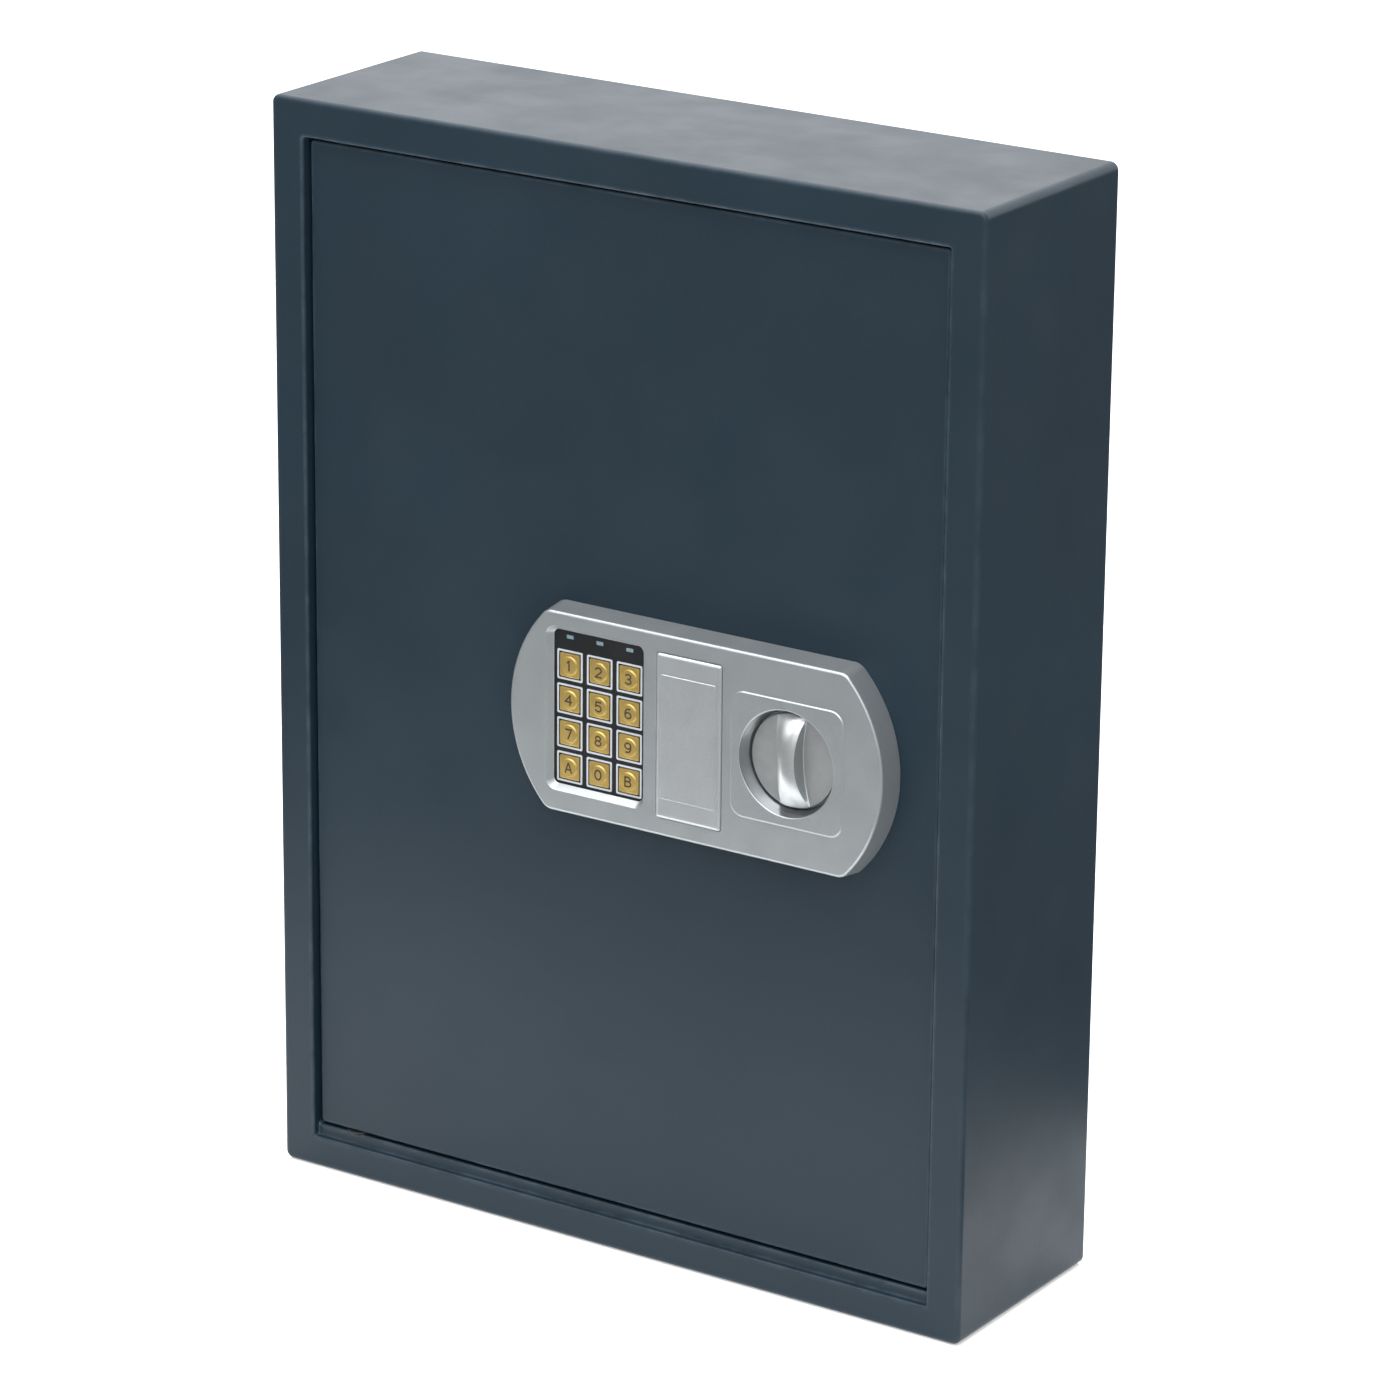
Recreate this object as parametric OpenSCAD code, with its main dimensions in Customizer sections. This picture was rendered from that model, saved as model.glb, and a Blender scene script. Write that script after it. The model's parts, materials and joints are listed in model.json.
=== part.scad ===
// Slim wall-mounted safe with an electronic keypad lock, built as a bench assembly.
// Units are millimetres. +Z is up, the door faces -Y, the wall face is y = 0.

/* [Cabinet] */
// Outside width of the cabinet
body_w = 350; // [344:1:400]
// Outside height of the cabinet
body_h = 483; // [470:1:560]
// Depth from the wall face to the front flange
body_d = 103; // [103:1:125]
// Sheet thickness of the cabinet
sheet_t = 2; // [1.5:0.1:2.2]
// Radius of the four long outside edges
edge_r = 5; // [3.5:0.5:7]
// Width of the front flange at both sides
flange_side = 16.2; // [15:0.1:18]
// Width of the front flange at the top
flange_top = 16.5; // [15:0.1:18]
// Width of the front flange at the bottom
flange_bottom = 13.9; // [13:0.1:15]
// Height of the sill step between the bottom flange and the door
sill_h = 4.8; // [4:0.1:5.5]
// Depth of the return lip around the opening
lip_d = 15; // [14.5:0.1:15.5]
// How far the door face sits behind the flange
door_recess = 3.6; // [3.2:0.1:4.4]

/* [Door] */
// Gap between the door and the opening at the sides and the top
gap = 1.3; // [1.2:0.1:1.8]
// Distance of the hinge pin from the door's left edge
pin_in = 18; // [17.5:0.5:19]
// Radius of the hinge pins
pin_r = 2.75; // [2.5:0.05:2.75]

/* [Wall fixing] */
// Distance between the wall anchor holes across
anchor_x = 220; // [180:5:240]
// Distance between the wall anchor holes up and down
anchor_z = 340; // [332:1:350]
// Diameter of the wall anchor holes
anchor_d = 9; // [7:0.5:11]

/* [Lock face] */
// Length of the lock fascia
face_l = 187; // [186:0.5:189]
// Height of the lock fascia
face_h = 91.2; // [90:0.2:93]
// Radius of the bowed ends of the fascia
face_end_r = 62; // [58:1:70]
// Centre of the fascia from the middle of the door
face_x = 45.5; // [45:0.1:46]
// Diameter of the knob disc
knob_d = 40.6; // [39:0.1:41.5]
// Height of the knob's grip above its disc
grip_h = 8; // [6:0.5:9]
// Turn of the grip away from upright, in degrees
grip_turn = 3; // [0:0.5:4]
// Distance between key centres
key_pitch = 15; // [14.8:0.1:15.2]
// Width of one key
key_w = 10; // [9.4:0.1:10.2]

/* [Bolt work] */
// Diameter of the two bolts
bolt_d = 12; // [10:0.5:12]
// Distance between the bolts
bolt_gap = 90; // [88:1:92]
// Travel of the bolts
bolt_throw = 12; // [10:0.5:12]

/* [Hidden] */
$fn = 40;
yF = -body_d;
yD = yF + door_recess;
wx = body_w / 2;
hz = body_h / 2;
ox = wx - flange_side;
ozt = hz - flange_top;
ozf = -hz + flange_bottom;
ozb = ozf + sill_h;
dx = ox - gap;
dzt = ozt - gap;
dzb = ozb + gap;
px = -dx + pin_in;
py = yD + 5;
fx = face_x;
kx = fx - 48.3;
lz = 33;
yK = yD - 6.8;
mx = fx - 1.7;
nx = fx + 46.2;
ym = yD + 19;
bz = bolt_gap / 2;
case_r = dx - 17.1;

steel = [0.2, 0.24, 0.28];
zinc = [0.72, 0.74, 0.76];
silver = [0.7, 0.72, 0.73];
dark = [0.08, 0.08, 0.09];
gold = [0.78, 0.63, 0.3];

// Block between two corners
module bx(x0, x1, y0, y1, z0, z1) translate([x0, y0, z0]) cube([x1 - x0, y1 - y0, z1 - z0]);
// Cylinder along Y
module cy(x, z, r, y0, y1) translate([x, y0, z]) rotate([-90, 0, 0]) cylinder(r = r, h = y1 - y0);
// Cone along Y
module cny(x, z, r0, r1, y0, y1) translate([x, y0, z]) rotate([-90, 0, 0]) cylinder(r1 = r0, r2 = r1, h = y1 - y0);
// Cylinder along Z
module cz(x, y, r, z0, z1) translate([x, y, z0]) cylinder(r = r, h = z1 - z0);
// Cylinder along X
module cx(y, z, r, x0, x1) translate([x0, y, z]) rotate([0, 90, 0]) cylinder(r = r, h = x1 - x0);
// Outline in the X-Z plane, extruded along Y
module ex(y0, y1) translate([0, y1, 0]) rotate([90, 0, 0]) linear_extrude(y1 - y0) children();
function arc(cx, cz, r, a0, a1, n) = [for (i = [0:n]) [cx + r * cos(a0 + (a1 - a0) * i / n), cz + r * sin(a0 + (a1 - a0) * i / n)]];
function rr(x0, x1, z0, z1, r, n = 5) = concat(arc(x1 - r, z1 - r, r, 0, 90, n), arc(x0 + r, z1 - r, r, 90, 180, n), arc(x0 + r, z0 + r, r, 180, 270, n), arc(x1 - r, z0 + r, r, 270, 360, n));
// Quarter of the fascia outline, then the whole of it
function fq(hl, hh, R, r) = let (q = sqrt((R - r) * (R - r) - (hh - r) * (hh - r)), c = hl - R + q, a = atan2(hh - r, q)) concat(arc(hl - R, 0, R, 0, a, 10), arc(c, hh - r, r, a, 90, 6));
function rev(v) = [for (i = [len(v) - 1:-1:0]) v[i]];
function fo(hl, hh, R, r, cx) = let (q = fq(hl, hh, R, r)) concat([for (p = q) [cx + p[0], p[1]]], [for (p = rev(q)) [cx - p[0], p[1]]], [for (i = [1:len(q) - 1]) [cx - q[i][0], -q[i][1]]], [for (i = [len(q) - 1:-1:1]) [cx + q[i][0], -q[i][1]]]);

// ---------- cabinet ----------
module body_shell() color(steel) difference() {
  union() {
    difference() {
      ex(yF, 0) polygon(rr(-wx, wx, -hz, hz, edge_r));
      ex(yF + sheet_t, 1) polygon(rr(-wx + sheet_t, wx - sheet_t, -hz + sheet_t, hz - sheet_t, edge_r - sheet_t));
    }
    ex(yF + sheet_t / 2, yF + lip_d) polygon(rr(-ox - sheet_t, ox + sheet_t, ozb - sheet_t, ozt + sheet_t, 3));
    ex(yF + sheet_t / 2, yF + door_recess + sheet_t) polygon(rr(-ox - sheet_t, ox + sheet_t, ozf - sheet_t, ozb + 6, 3));
  }
  ex(yF - 1, yF + lip_d + 1) polygon(rr(-ox, ox, ozb, ozt, 1));
  ex(yF - 1, yF + door_recess) polygon(rr(-ox, ox, ozf, ozb + 9, 1));
  cz(px, py, 4.3, ozb - 4, ozb + 1);
  cz(px, py, 4.3, ozt - 1, ozt + 4);
}

module back_panel() color(steel) difference() {
  union() {
    bx(-wx + sheet_t, wx - sheet_t, -2, 0, -hz + edge_r, hz - edge_r);
    bx(-wx + edge_r, wx - edge_r, -2, 0, -hz + sheet_t, hz - sheet_t);
    bx(-wx + sheet_t, -wx + sheet_t + 1.5, -12, -2, -hz + 12, hz - 12);
    bx(wx - sheet_t - 1.5, wx - sheet_t, -12, -2, -hz + 12, hz - 12);
  }
  for (i = [-1, 1], k = [-1, 1]) cy(i * anchor_x / 2, k * anchor_z / 2, anchor_d / 2, -3, 1);
}

// Flanged plain bush in the lip, flange towards the door
module bush(z, s, t) difference() {
  union() {
    cz(px, py, 6, min(z, z - s * t), max(z, z - s * t));
    cz(px, py, 4.25, min(z, z + s * 3.2), max(z, z + s * 3.2));
  }
  cz(px, py, pin_r + 0.05, z - 12, z + 12);
}
module upper_hinge_bush() color(dark) bush(ozt, 1, gap - 0.4);
module lower_hinge_bush() color(dark) bush(ozb, -1, gap - 0.4);

module strip(z, s) {
  bx(-100, 130, yF + lip_d, yF + lip_d + 1.5, min(z - s * 7.5, s * (hz - sheet_t)), max(z - s * 7.5, s * (hz - sheet_t)));
  bx(-100, 130, yF + lip_d + 1.5, yF + lip_d + 14, min(s * (hz - sheet_t - 1.5), s * (hz - sheet_t)), max(s * (hz - sheet_t - 1.5), s * (hz - sheet_t)));
}
module upper_stop_strip() color(steel) strip(ozt, 1);
module lower_stop_strip() color(steel) strip(dzb, -1);
module door_bumpers() color(dark) for (x = [-60, 110]) {
  cy(x, dzt - 2.6, 3, yD + 8.4, yF + lip_d);
  cy(x, dzb + 2.6, 3, yD + 8.4, yF + lip_d);
}

// Rail with ten sheet-metal key hooks
module rail(z) {
  bx(-145, 145, -12, -10.5, z - 10, z + 10);
  bx(-145, 145, -12, -2, z + 8.5, z + 10);
  bx(-145, 145, -12, -2, z - 10, z - 8.5);
  for (i = [-4.5:1:4.5]) {
    bx(i * 30 - 2, i * 30 + 2, -30, -11, z + 2, z + 3.5);
    bx(i * 30 - 2, i * 30 + 2, -30, -28.5, z + 2, z + 8);
  }
}
module upper_key_rail() color(zinc) rail(140);
module middle_key_rail() color(zinc) rail(10);
module lower_key_rail() color(zinc) rail(-120);

// ---------- door ----------
module door_panel() color(steel) difference() {
  ex(yD, yD + 8) polygon(rr(-dx, dx, dzb, dzt, 1.5));
  bx(-dx + 2, dx - 2, yD + 2, yD + 9, dzb + 2, dzt - 2);
  cz(px, py, pin_r + 0.1, dzb - 1, dzb + 3);
  cz(px, py, pin_r + 0.1, dzt - 3, dzt + 1);
  bx(px - pin_r - 0.1, px + pin_r + 0.1, py, yD + 9, dzb - 1, dzb + 3);
  bx(px - pin_r - 0.1, px + pin_r + 0.1, py, yD + 9, dzt - 3, dzt + 1);
  cy(nx, 0, 7, yD - 1, yD + 3);
  cy(mx, 0, 9.9, yD - 1, yD + 3);
  for (i = [-1, 1], k = [-22, 22]) cy(fx + i * 80.8, k, 2.8, yD - 1, yD + 3);
  bx(kx - 8, kx + 8, yD - 1, yD + 3, -34, -27);
}

module hinge_channel() color(steel) difference() {
  union() {
    bx(-dx + 2, -dx + 3.5, yD + 2, yD + 29, dzb + 2, dzt - 2);
    bx(-dx + 3.5, -dx + 26, yD + 27.5, yD + 29, dzb + 8, dzt - 8);
    bx(-dx + 3.5, -dx + 30, yD + 2, yD + 27.5, dzb + 8, dzb + 10);
    bx(-dx + 3.5, -dx + 30, yD + 2, yD + 27.5, dzt - 10, dzt - 8);
    bx(-dx + 3.5, -dx + 30, yD + 2, yD + 27.5, dzb + 28, dzb + 30);
    bx(-dx + 3.5, -dx + 30, yD + 2, yD + 27.5, dzt - 30, dzt - 28);
  }
  cz(px, py, pin_r + 0.03, dzb - 1, dzb + 40);
  cz(px, py, pin_r + 0.03, dzt - 40, dzt + 1);
}

module latch_channel() color(steel) difference() {
  union() {
    bx(dx - 4, dx - 2, yD + 2, yD + 29, dzb + 6, dzt - 6);
    bx(dx - 10.6, dx - 4, yD + 2, yD + 3.5, dzb + 6, dzt - 6);
    bx(dx - 10.6, dx - 4, yD + 27.5, yD + 29, dzb + 6, dzt - 6);
  }
  for (k = [-bz, bz]) cx(ym, k, bolt_d / 2 + 0.5, dx - 5, dx);
}

// Plain pin with a cross pin under the end plate
module upper_hinge_pin() color(zinc) union() {
  cz(px, py, pin_r, dzt - 34, ozt + 3);
  bx(px - 0.8, px + 0.8, py - 2.5, py + 6.5, dzt - 11.8, dzt - 10.2);
}
module lower_hinge_pin() color(zinc) union() {
  cz(px, py, pin_r, ozb - 3, dzb + 34);
  bx(px - 0.8, px + 0.8, py - 2.5, py + 6.5, dzb + 10.2, dzb + 11.8);
}

module lock_fascia() color(silver) difference() {
  union() {
    ex(yD - 7, yD) polygon(fo(face_l / 2, face_h / 2, face_end_r, 7, fx));
    ex(yD - 12, yD - 7) polygon(fo(face_l / 2 - 1, face_h / 2 - 1, face_end_r, 6.4, fx));
    ex(yD - 12.6, yD - 12) polygon(rr(nx - 27, nx + 27, -27, 27, 6));
  }
  // keypad window and the space behind it
  ex(yD - 13, yD) polygon(rr(kx - 23.1, kx + 22, -32.5, 35.7, 3));
  ex(yD - 9, yD + 1) polygon(rr(kx - 25, kx + 25, -36, 39, 3));
  // seat of the cover and its two clip slots
  ex(yD - 13, yD - 10.5) polygon(rr(mx - 16.4, mx + 16.4, -36.4, 36.4, 1.4));
  cy(mx, 0, 9.9, yD - 13, yD + 1);
  for (k = [-27, 27]) bx(mx - 4.6, mx + 4.6, yD - 11, yD + 1, k - 1.2, k + 1.2);
  bx(mx - 13.5, mx + 13.5, yD - 7, yD + 1, -33, 33);
  // cup round the knob
  cny(nx, 0, 23, 21.3, yD - 12.6, yK);
  cy(nx, 0, 21.3, yK - 0.1, yD - 4.5);
  cy(nx, 0, 6, yD - 5, yD + 1);
  for (i = [-1, 1], k = [-22, 22]) cy(fx + i * 80.8, k, 2.6, yD - 8, yD + 1);
}

module keypad_plate() color(dark) difference() {
  ex(yD - 9, yD - 7) polygon(rr(kx - 24.7, kx + 24.7, -35.7, 38.7, 3));
  for (c = [-1:1], r = [0:3]) bx(kx + c * key_pitch - 5.4, kx + c * key_pitch + 5.4, yD - 10, yD - 6, 20.5 - r * key_pitch - 5.6, 20.5 - r * key_pitch + 5.6);
  for (c = [-1:1]) bx(kx + c * key_pitch - 1.7, kx + c * key_pitch + 1.7, yD - 10, yD - 6, lz - 0.8, lz + 0.8);
}
module key_frames() color(zinc) for (c = [-1:1], r = [0:3]) difference() {
  bx(kx + c * key_pitch - 6.4, kx + c * key_pitch + 6.4, yD - 9.3, yD - 9, 20.5 - r * key_pitch - 6.6, 20.5 - r * key_pitch + 6.6);
  bx(kx + c * key_pitch - 5.5, kx + c * key_pitch + 5.5, yD - 10, yD - 8, 20.5 - r * key_pitch - 5.7, 20.5 - r * key_pitch + 5.7);
}
module led_lenses() color([0.45, 0.55, 0.6]) for (c = [-1:1]) bx(kx + c * key_pitch - 1.7, kx + c * key_pitch + 1.7, yD - 9.1, yD - 7.4, lz - 0.8, lz + 0.8);
module keypad_board() color([0.1, 0.3, 0.18]) union() {
  bx(kx - 24, kx + 24, yD - 2.8, yD - 1.4, -35, 38);
  for (c = [-1:1]) bx(kx + c * key_pitch - 1.5, kx + c * key_pitch + 1.5, yD - 6.6, yD - 2.8, lz - 0.7, lz + 0.7);
  bx(kx - 7, kx + 7, yD - 1.4, yD - 0.4, -31.6, -29.6);
  for (x = [-22.9, 22.9], z = [-33.6, 36.6]) cy(kx + x, z, 1, yD - 7, yD - 2.8);
}
module ribbon_cable() color([0.6, 0.6, 0.62]) union() {
  bx(kx - 6, kx + 6, yD - 0.4, yD + 4, -31, -30.4);
  bx(kx - 6, kx + 6, yD + 3.4, yD + 4, -31, -10);
  bx(kx - 6, kx + 6, yD + 3.4, yD + 9, -10.6, -10);
  bx(kx - 6, kx + 6, yD + 8.4, yD + 9, -10.6, 6.4);
}
module fascia_studs() color(zinc) for (i = [-1, 1], k = [-22, 22]) cy(fx + i * 80.8, k, 2.5, yD - 8, yD + 5.6);
module fascia_nuts() color(zinc) for (i = [-1, 1], k = [-22, 22]) difference() {
  cy(fx + i * 80.8, k, 4.6, yD + 2, yD + 5.4, $fn = 6);
  cy(fx + i * 80.8, k, 2.55, yD + 1, yD + 7);
}
module knob_bush() color([0.75, 0.65, 0.35]) difference() {
  union() {
    cy(nx, 0, 5.9, yD - 4.5, yD + 6);
    cy(nx, 0, 8.5, yD + 2, yD + 5);
  }
  cy(nx, 0, 4.05, yD - 5, yD + 7);
}
module override_body() color(zinc) difference() {
  union() {
    cy(mx, 0, 9.6, yD - 10.3, yD + 24);
    cy(mx, 0, 12, yD - 7, yD - 5);
  }
  cy(mx, 0, 6.05, yD - 11, yD + 25);
}
module override_nut() color(zinc) difference() {
  cy(mx, 0, 13, yD + 2, yD + 7, $fn = 6);
  cy(mx, 0, 9.65, yD + 1, yD + 8);
}
module guide_pins() color(zinc) for (k = [-32, 32]) {
  cy(fx + 34.7, k, 2.5, yD + 2, yD + 22);
  cy(fx + 34.7, k, 4.5, yD + 20.9, yD + 22.5);
}
module bolt_guides() color(zinc) for (k = [-bz, bz]) difference() {
  bx(dx - 28.6, dx - 19.2, yD + 2, ym + 9, k - 9, k + 9);
  cx(ym, k, bolt_d / 2 + 0.05, dx - 30, dx - 10);
}
module solenoid_frame() color(zinc) difference() {
  union() {
    bx(61, 85, yD + 2, yD + 3.5, 66, 94);
    bx(61, 85, yD + 3.5, yD + 31, 66, 67.5);
    bx(61, 85, yD + 3.5, yD + 31, 92.5, 94);
  }
  cz(73, ym, 3.05, 65, 69);
}
module solenoid_coil() color([0.55, 0.3, 0.15]) difference() {
  cz(73, ym, 10, 67.5, 92.5);
  cz(73, ym, 3.5, 67, 93);
}
module plunger_spring() color(zinc) translate([73, ym, bz + 12.3]) linear_extrude(height = 53.4 - bz, twist = -360 * 4, slices = 40) polygon(concat(arc(0, 0, 4.7, 0, 150, 7), rev(arc(0, 0, 3.7, 0, 150, 7))));
module lock_case() color(steel) difference() {
  union() {
    difference() {
      bx(-48, case_r, yD + 2, yD + 38, -92, 98);
      bx(-46.5, case_r - 1.5, yD + 1, yD + 36.5, -90.5, 96.5);
    }
    bx(-48, case_r, yD + 2, yD + 3.5, 97, 107);
    bx(-48, case_r, yD + 2, yD + 3.5, -101, -91);
  }
  for (k = [-bz, bz]) bx(case_r - 3.4, case_r + 1.6, ym - 6.6, ym + 6.6, k - 6.6, k + 6.6);
  bx(-42, 22, yD + 35, yD + 39, -82, -18);
  cy(-10, 50, 3, yD + 35, yD + 39);
  for (x = [-30, 120]) for (z = [102, -96]) cy(x, z, 2.2, yD + 1, yD + 4);
}
module case_screws() color(zinc) for (x = [-30, 120]) for (z = [102, -96]) {
  cy(x, z, 2.1, yD + 2, yD + 4);
  difference() {
    cy(x, z, 3.8, yD + 3.5, yD + 5.9);
    bx(x - 2.4, x + 2.4, yD + 4.9, yD + 6, z - 0.5, z + 0.5);
    bx(x - 0.5, x + 0.5, yD + 4.9, yD + 6, z - 2.4, z + 2.4);
  }
}
module battery_holder() color(dark) union() {
  difference() {
    bx(-41.5, 21.5, yD + 6, yD + 30, -81, -19);
    bx(-40, 20, yD + 15.3, yD + 31, -77.5, -22.5);
    bx(-30, 10, yD + 5, yD + 12, -76, -26);
  }
  for (p = [[-38, -77], [18, -77], [18, -23], [-20, -22]]) cy(p[0], p[1], 2.5, yD + 2, yD + 7);
}
module batteries() color([0.25, 0.3, 0.4]) for (i = [0:3]) {
  cz(-32.2 + i * 14.6, yD + 22.3, 7, -76, -26);
  cz(-32.2 + i * 14.6, yD + 22.3, 2.6, -26, -24.6);
}
module control_board() color([0.1, 0.3, 0.18]) union() {
  bx(-42, 22, yD + 6, yD + 7.6, -4, 62);
  for (x = [-38, 18], z = [0, 58]) cy(x, z, 2.5, yD + 2, yD + 6);
  bx(-30, -12, yD + 7.6, yD + 17, 4, 18);
  bx(-4, 6, yD + 7.6, yD + 9.6, 22, 32);
  bx(-14, -6, yD + 7.6, yD + 12, 46, 54);
  cy(12, 46, 5, yD + 7.6, yD + 20);
  bx(kx - 8, kx + 8, yD + 7.6, yD + 13, 6.4, 12);
}

// ---------- moving pieces ----------
module key(c, r) color(gold) union() {
  bx(kx + c * key_pitch - key_w / 2, kx + c * key_pitch + key_w / 2, yD - 10.2, yD - 6.4, 20.5 - r * key_pitch - key_w / 2 - 0.25, 20.5 - r * key_pitch + key_w / 2 + 0.25);
  bx(kx + c * key_pitch - 6, kx + c * key_pitch + 6, yD - 6.6, yD - 5.4, 20.5 - r * key_pitch - 6.1, 20.5 - r * key_pitch + 6.1);
  bx(kx + c * key_pitch - 2, kx + c * key_pitch + 2, yD - 5.5, yD - 4, 20.5 - r * key_pitch - 2, 20.5 - r * key_pitch + 2);
}
module key_1() key(-1, 0);
module key_2() key(0, 0);
module key_3() key(1, 0);
module key_4() key(-1, 1);
module key_5() key(0, 1);
module key_6() key(1, 1);
module key_7() key(-1, 2);
module key_8() key(0, 2);
module key_9() key(1, 2);
module key_a() key(-1, 3);
module key_0() key(0, 3);
module key_b() key(1, 3);

module override_cover() color(silver) union() {
  ex(yD - 13, yD - 10.9) polygon(rr(mx - 16, mx + 16, -36, 36, 1.2));
  ex(yD - 13.4, yD - 12.9) polygon(rr(mx - 13.8, mx + 13.8, -27.5, 27.5, 1));
  for (k = [-27, 27]) bx(mx - 4, mx + 4, yD - 11, yD - 5.5, k - 0.6, k + 0.6);
}
module override_plug() color([0.75, 0.65, 0.35]) difference() {
  union() {
    cy(mx, 0, 6, yD - 10, yD + 26);
    bx(mx - 5, mx + 5, yD + 24.4, yD + 26.4, -20, 0);
    cy(mx, 0, 8, yD + 24.4, yD + 26.4);
  }
  bx(mx - 0.7, mx + 0.7, yD - 11, yD + 2, -3.6, 3.6);
}
// Disc with a waisted, arched grip bar
function waist(n) = [for (i = [0:n]) let (t = -1 + 2 * i / n) [nx + 4.7 + 3.3 * t * t, t * (knob_d / 2 - 0.6)]];
function waist2(n) = [for (i = [0:n]) let (t = 1 - 2 * i / n) [nx - 4.7 - 3.3 * t * t, t * (knob_d / 2 - 0.6)]];
function crest(n) = [for (i = [0:n]) let (t = -1 + 2 * i / n) [yK - grip_h * (1 - t * t), t * (knob_d / 2 - 0.4)]];
module knob() color(silver) union() {
  cy(nx, 0, knob_d / 2, yK, yD - 4.9);
  translate([nx, 0, 0]) rotate([0, -grip_turn, 0]) translate([-nx, 0, 0]) intersection() {
    ex(yK - grip_h - 1, yK + 1) polygon(concat(waist(12), waist2(12)));
    translate([nx - 10, 0, 0]) rotate([90, 0, 90]) linear_extrude(20) polygon(concat([[yK + 1, -knob_d / 2 + 0.4]], crest(14), [[yK + 1, knob_d / 2 - 0.4]]));
    cy(nx, 0, knob_d / 2 - 0.2, yD - 20, yD - 6);
  }
}
module knob_shaft() color(zinc) cy(nx, 0, 4, yD - 4.9, yD + 26);
module knob_cam() color(zinc) difference() {
  union() {
    cy(nx, 0, 13, ym + 1.9, ym + 5.9);
    cy(nx, 0, 7, ym + 5.9, ym + 7);
    cy(nx - bolt_throw / 2, bolt_throw / 2, 2.5, ym - 2.7, ym + 2);
  }
  cy(nx, 0, 4.02, ym - 4, ym + 9);
}
module bolt_carriage() color(zinc) difference() {
  bx(fx + 14.7, dx - 41.6, ym - 1.5, ym + 1.5, -bz - 9, bz + 9);
  bx(nx - bolt_throw - 4.6, nx + 4.6, ym - 2, ym + 2, -4.6, 4.6);
  bx(nx - bolt_throw / 2 - 3.1, nx - bolt_throw / 2 + 3.1, ym - 2, ym + 2, 0, 11.6);
  for (k = [-32, 32]) bx(fx + 34.7 - bolt_throw - 3, fx + 34.7 + 3, ym - 2, ym + 2, k - 2.9, k + 2.9);
}
module bolt(k) difference() {
  union() {
    cx(ym, k, bolt_d / 2, dx - 53.6, dx - 1.6);
    translate([dx - 1.6, ym, k]) rotate([0, 90, 0]) cylinder(r1 = bolt_d / 2, r2 = bolt_d / 2 - 0.8, h = 0.8);
  }
  bx(dx - 54, dx - 41.6, ym - 1.5, ym + 1.5, k - 7, k + 7);
}
module upper_bolt() color(zinc) bolt(bz);
module lower_bolt() color(zinc) bolt(-bz);
module solenoid_plunger() color(zinc) union() {
  cz(73, ym, 3, bz + 9.5, 88);
  cz(73, ym, 5, bz + 10.5, bz + 12);
}
module battery_lid() color(dark) difference() {
  union() {
    bx(-41.5, 21.5, yD + 36.2, yD + 37.8, -81.5, -18.5);
    bx(-16, -4, yD + 37.8, yD + 40.8, -24, -22.4);
  }
  for (i = [-1, 0, 1]) bx(-30, 10, yD + 37.2, yD + 39, -55 + i * 8 - 1, -55 + i * 8 + 1);
}
module reset_button() color([0.6, 0.1, 0.1]) cy(-10, 50, 2.5, yD + 14, yD + 38.8);

body_shell();
back_panel();
upper_hinge_bush();
lower_hinge_bush();
upper_stop_strip();
lower_stop_strip();
door_bumpers();
upper_key_rail();
middle_key_rail();
lower_key_rail();
door_panel();
hinge_channel();
latch_channel();
upper_hinge_pin();
lower_hinge_pin();
lock_fascia();
keypad_plate();
key_frames();
led_lenses();
keypad_board();
ribbon_cable();
fascia_studs();
fascia_nuts();
knob_bush();
override_body();
override_nut();
guide_pins();
bolt_guides();
solenoid_frame();
solenoid_coil();
plunger_spring();
lock_case();
case_screws();
battery_holder();
batteries();
control_board();
key_1();
key_2();
key_3();
key_4();
key_5();
key_6();
key_7();
key_8();
key_9();
key_a();
key_0();
key_b();
override_cover();
override_plug();
knob();
knob_shaft();
knob_cam();
bolt_carriage();
upper_bolt();
lower_bolt();
solenoid_plunger();
battery_lid();
reset_button();
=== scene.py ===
import bpy, bmesh, math, json
from mathutils import Vector, Matrix


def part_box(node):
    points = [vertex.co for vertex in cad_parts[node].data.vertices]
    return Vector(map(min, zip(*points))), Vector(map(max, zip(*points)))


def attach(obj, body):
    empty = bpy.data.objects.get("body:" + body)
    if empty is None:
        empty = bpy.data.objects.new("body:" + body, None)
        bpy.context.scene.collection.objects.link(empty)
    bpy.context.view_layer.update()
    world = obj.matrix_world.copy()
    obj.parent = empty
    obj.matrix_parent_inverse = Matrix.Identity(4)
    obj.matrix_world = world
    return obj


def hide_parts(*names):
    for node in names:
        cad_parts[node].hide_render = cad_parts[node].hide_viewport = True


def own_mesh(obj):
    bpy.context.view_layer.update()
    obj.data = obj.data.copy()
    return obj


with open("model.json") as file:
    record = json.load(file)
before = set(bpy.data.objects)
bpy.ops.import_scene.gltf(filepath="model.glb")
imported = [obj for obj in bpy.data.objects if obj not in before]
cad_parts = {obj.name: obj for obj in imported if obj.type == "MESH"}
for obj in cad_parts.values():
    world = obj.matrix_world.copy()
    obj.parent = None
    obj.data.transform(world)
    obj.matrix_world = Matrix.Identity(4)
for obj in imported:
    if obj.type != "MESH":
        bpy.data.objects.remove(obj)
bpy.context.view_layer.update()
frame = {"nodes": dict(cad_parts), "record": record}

MM = 0.001
scene = bpy.context.scene

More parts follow.
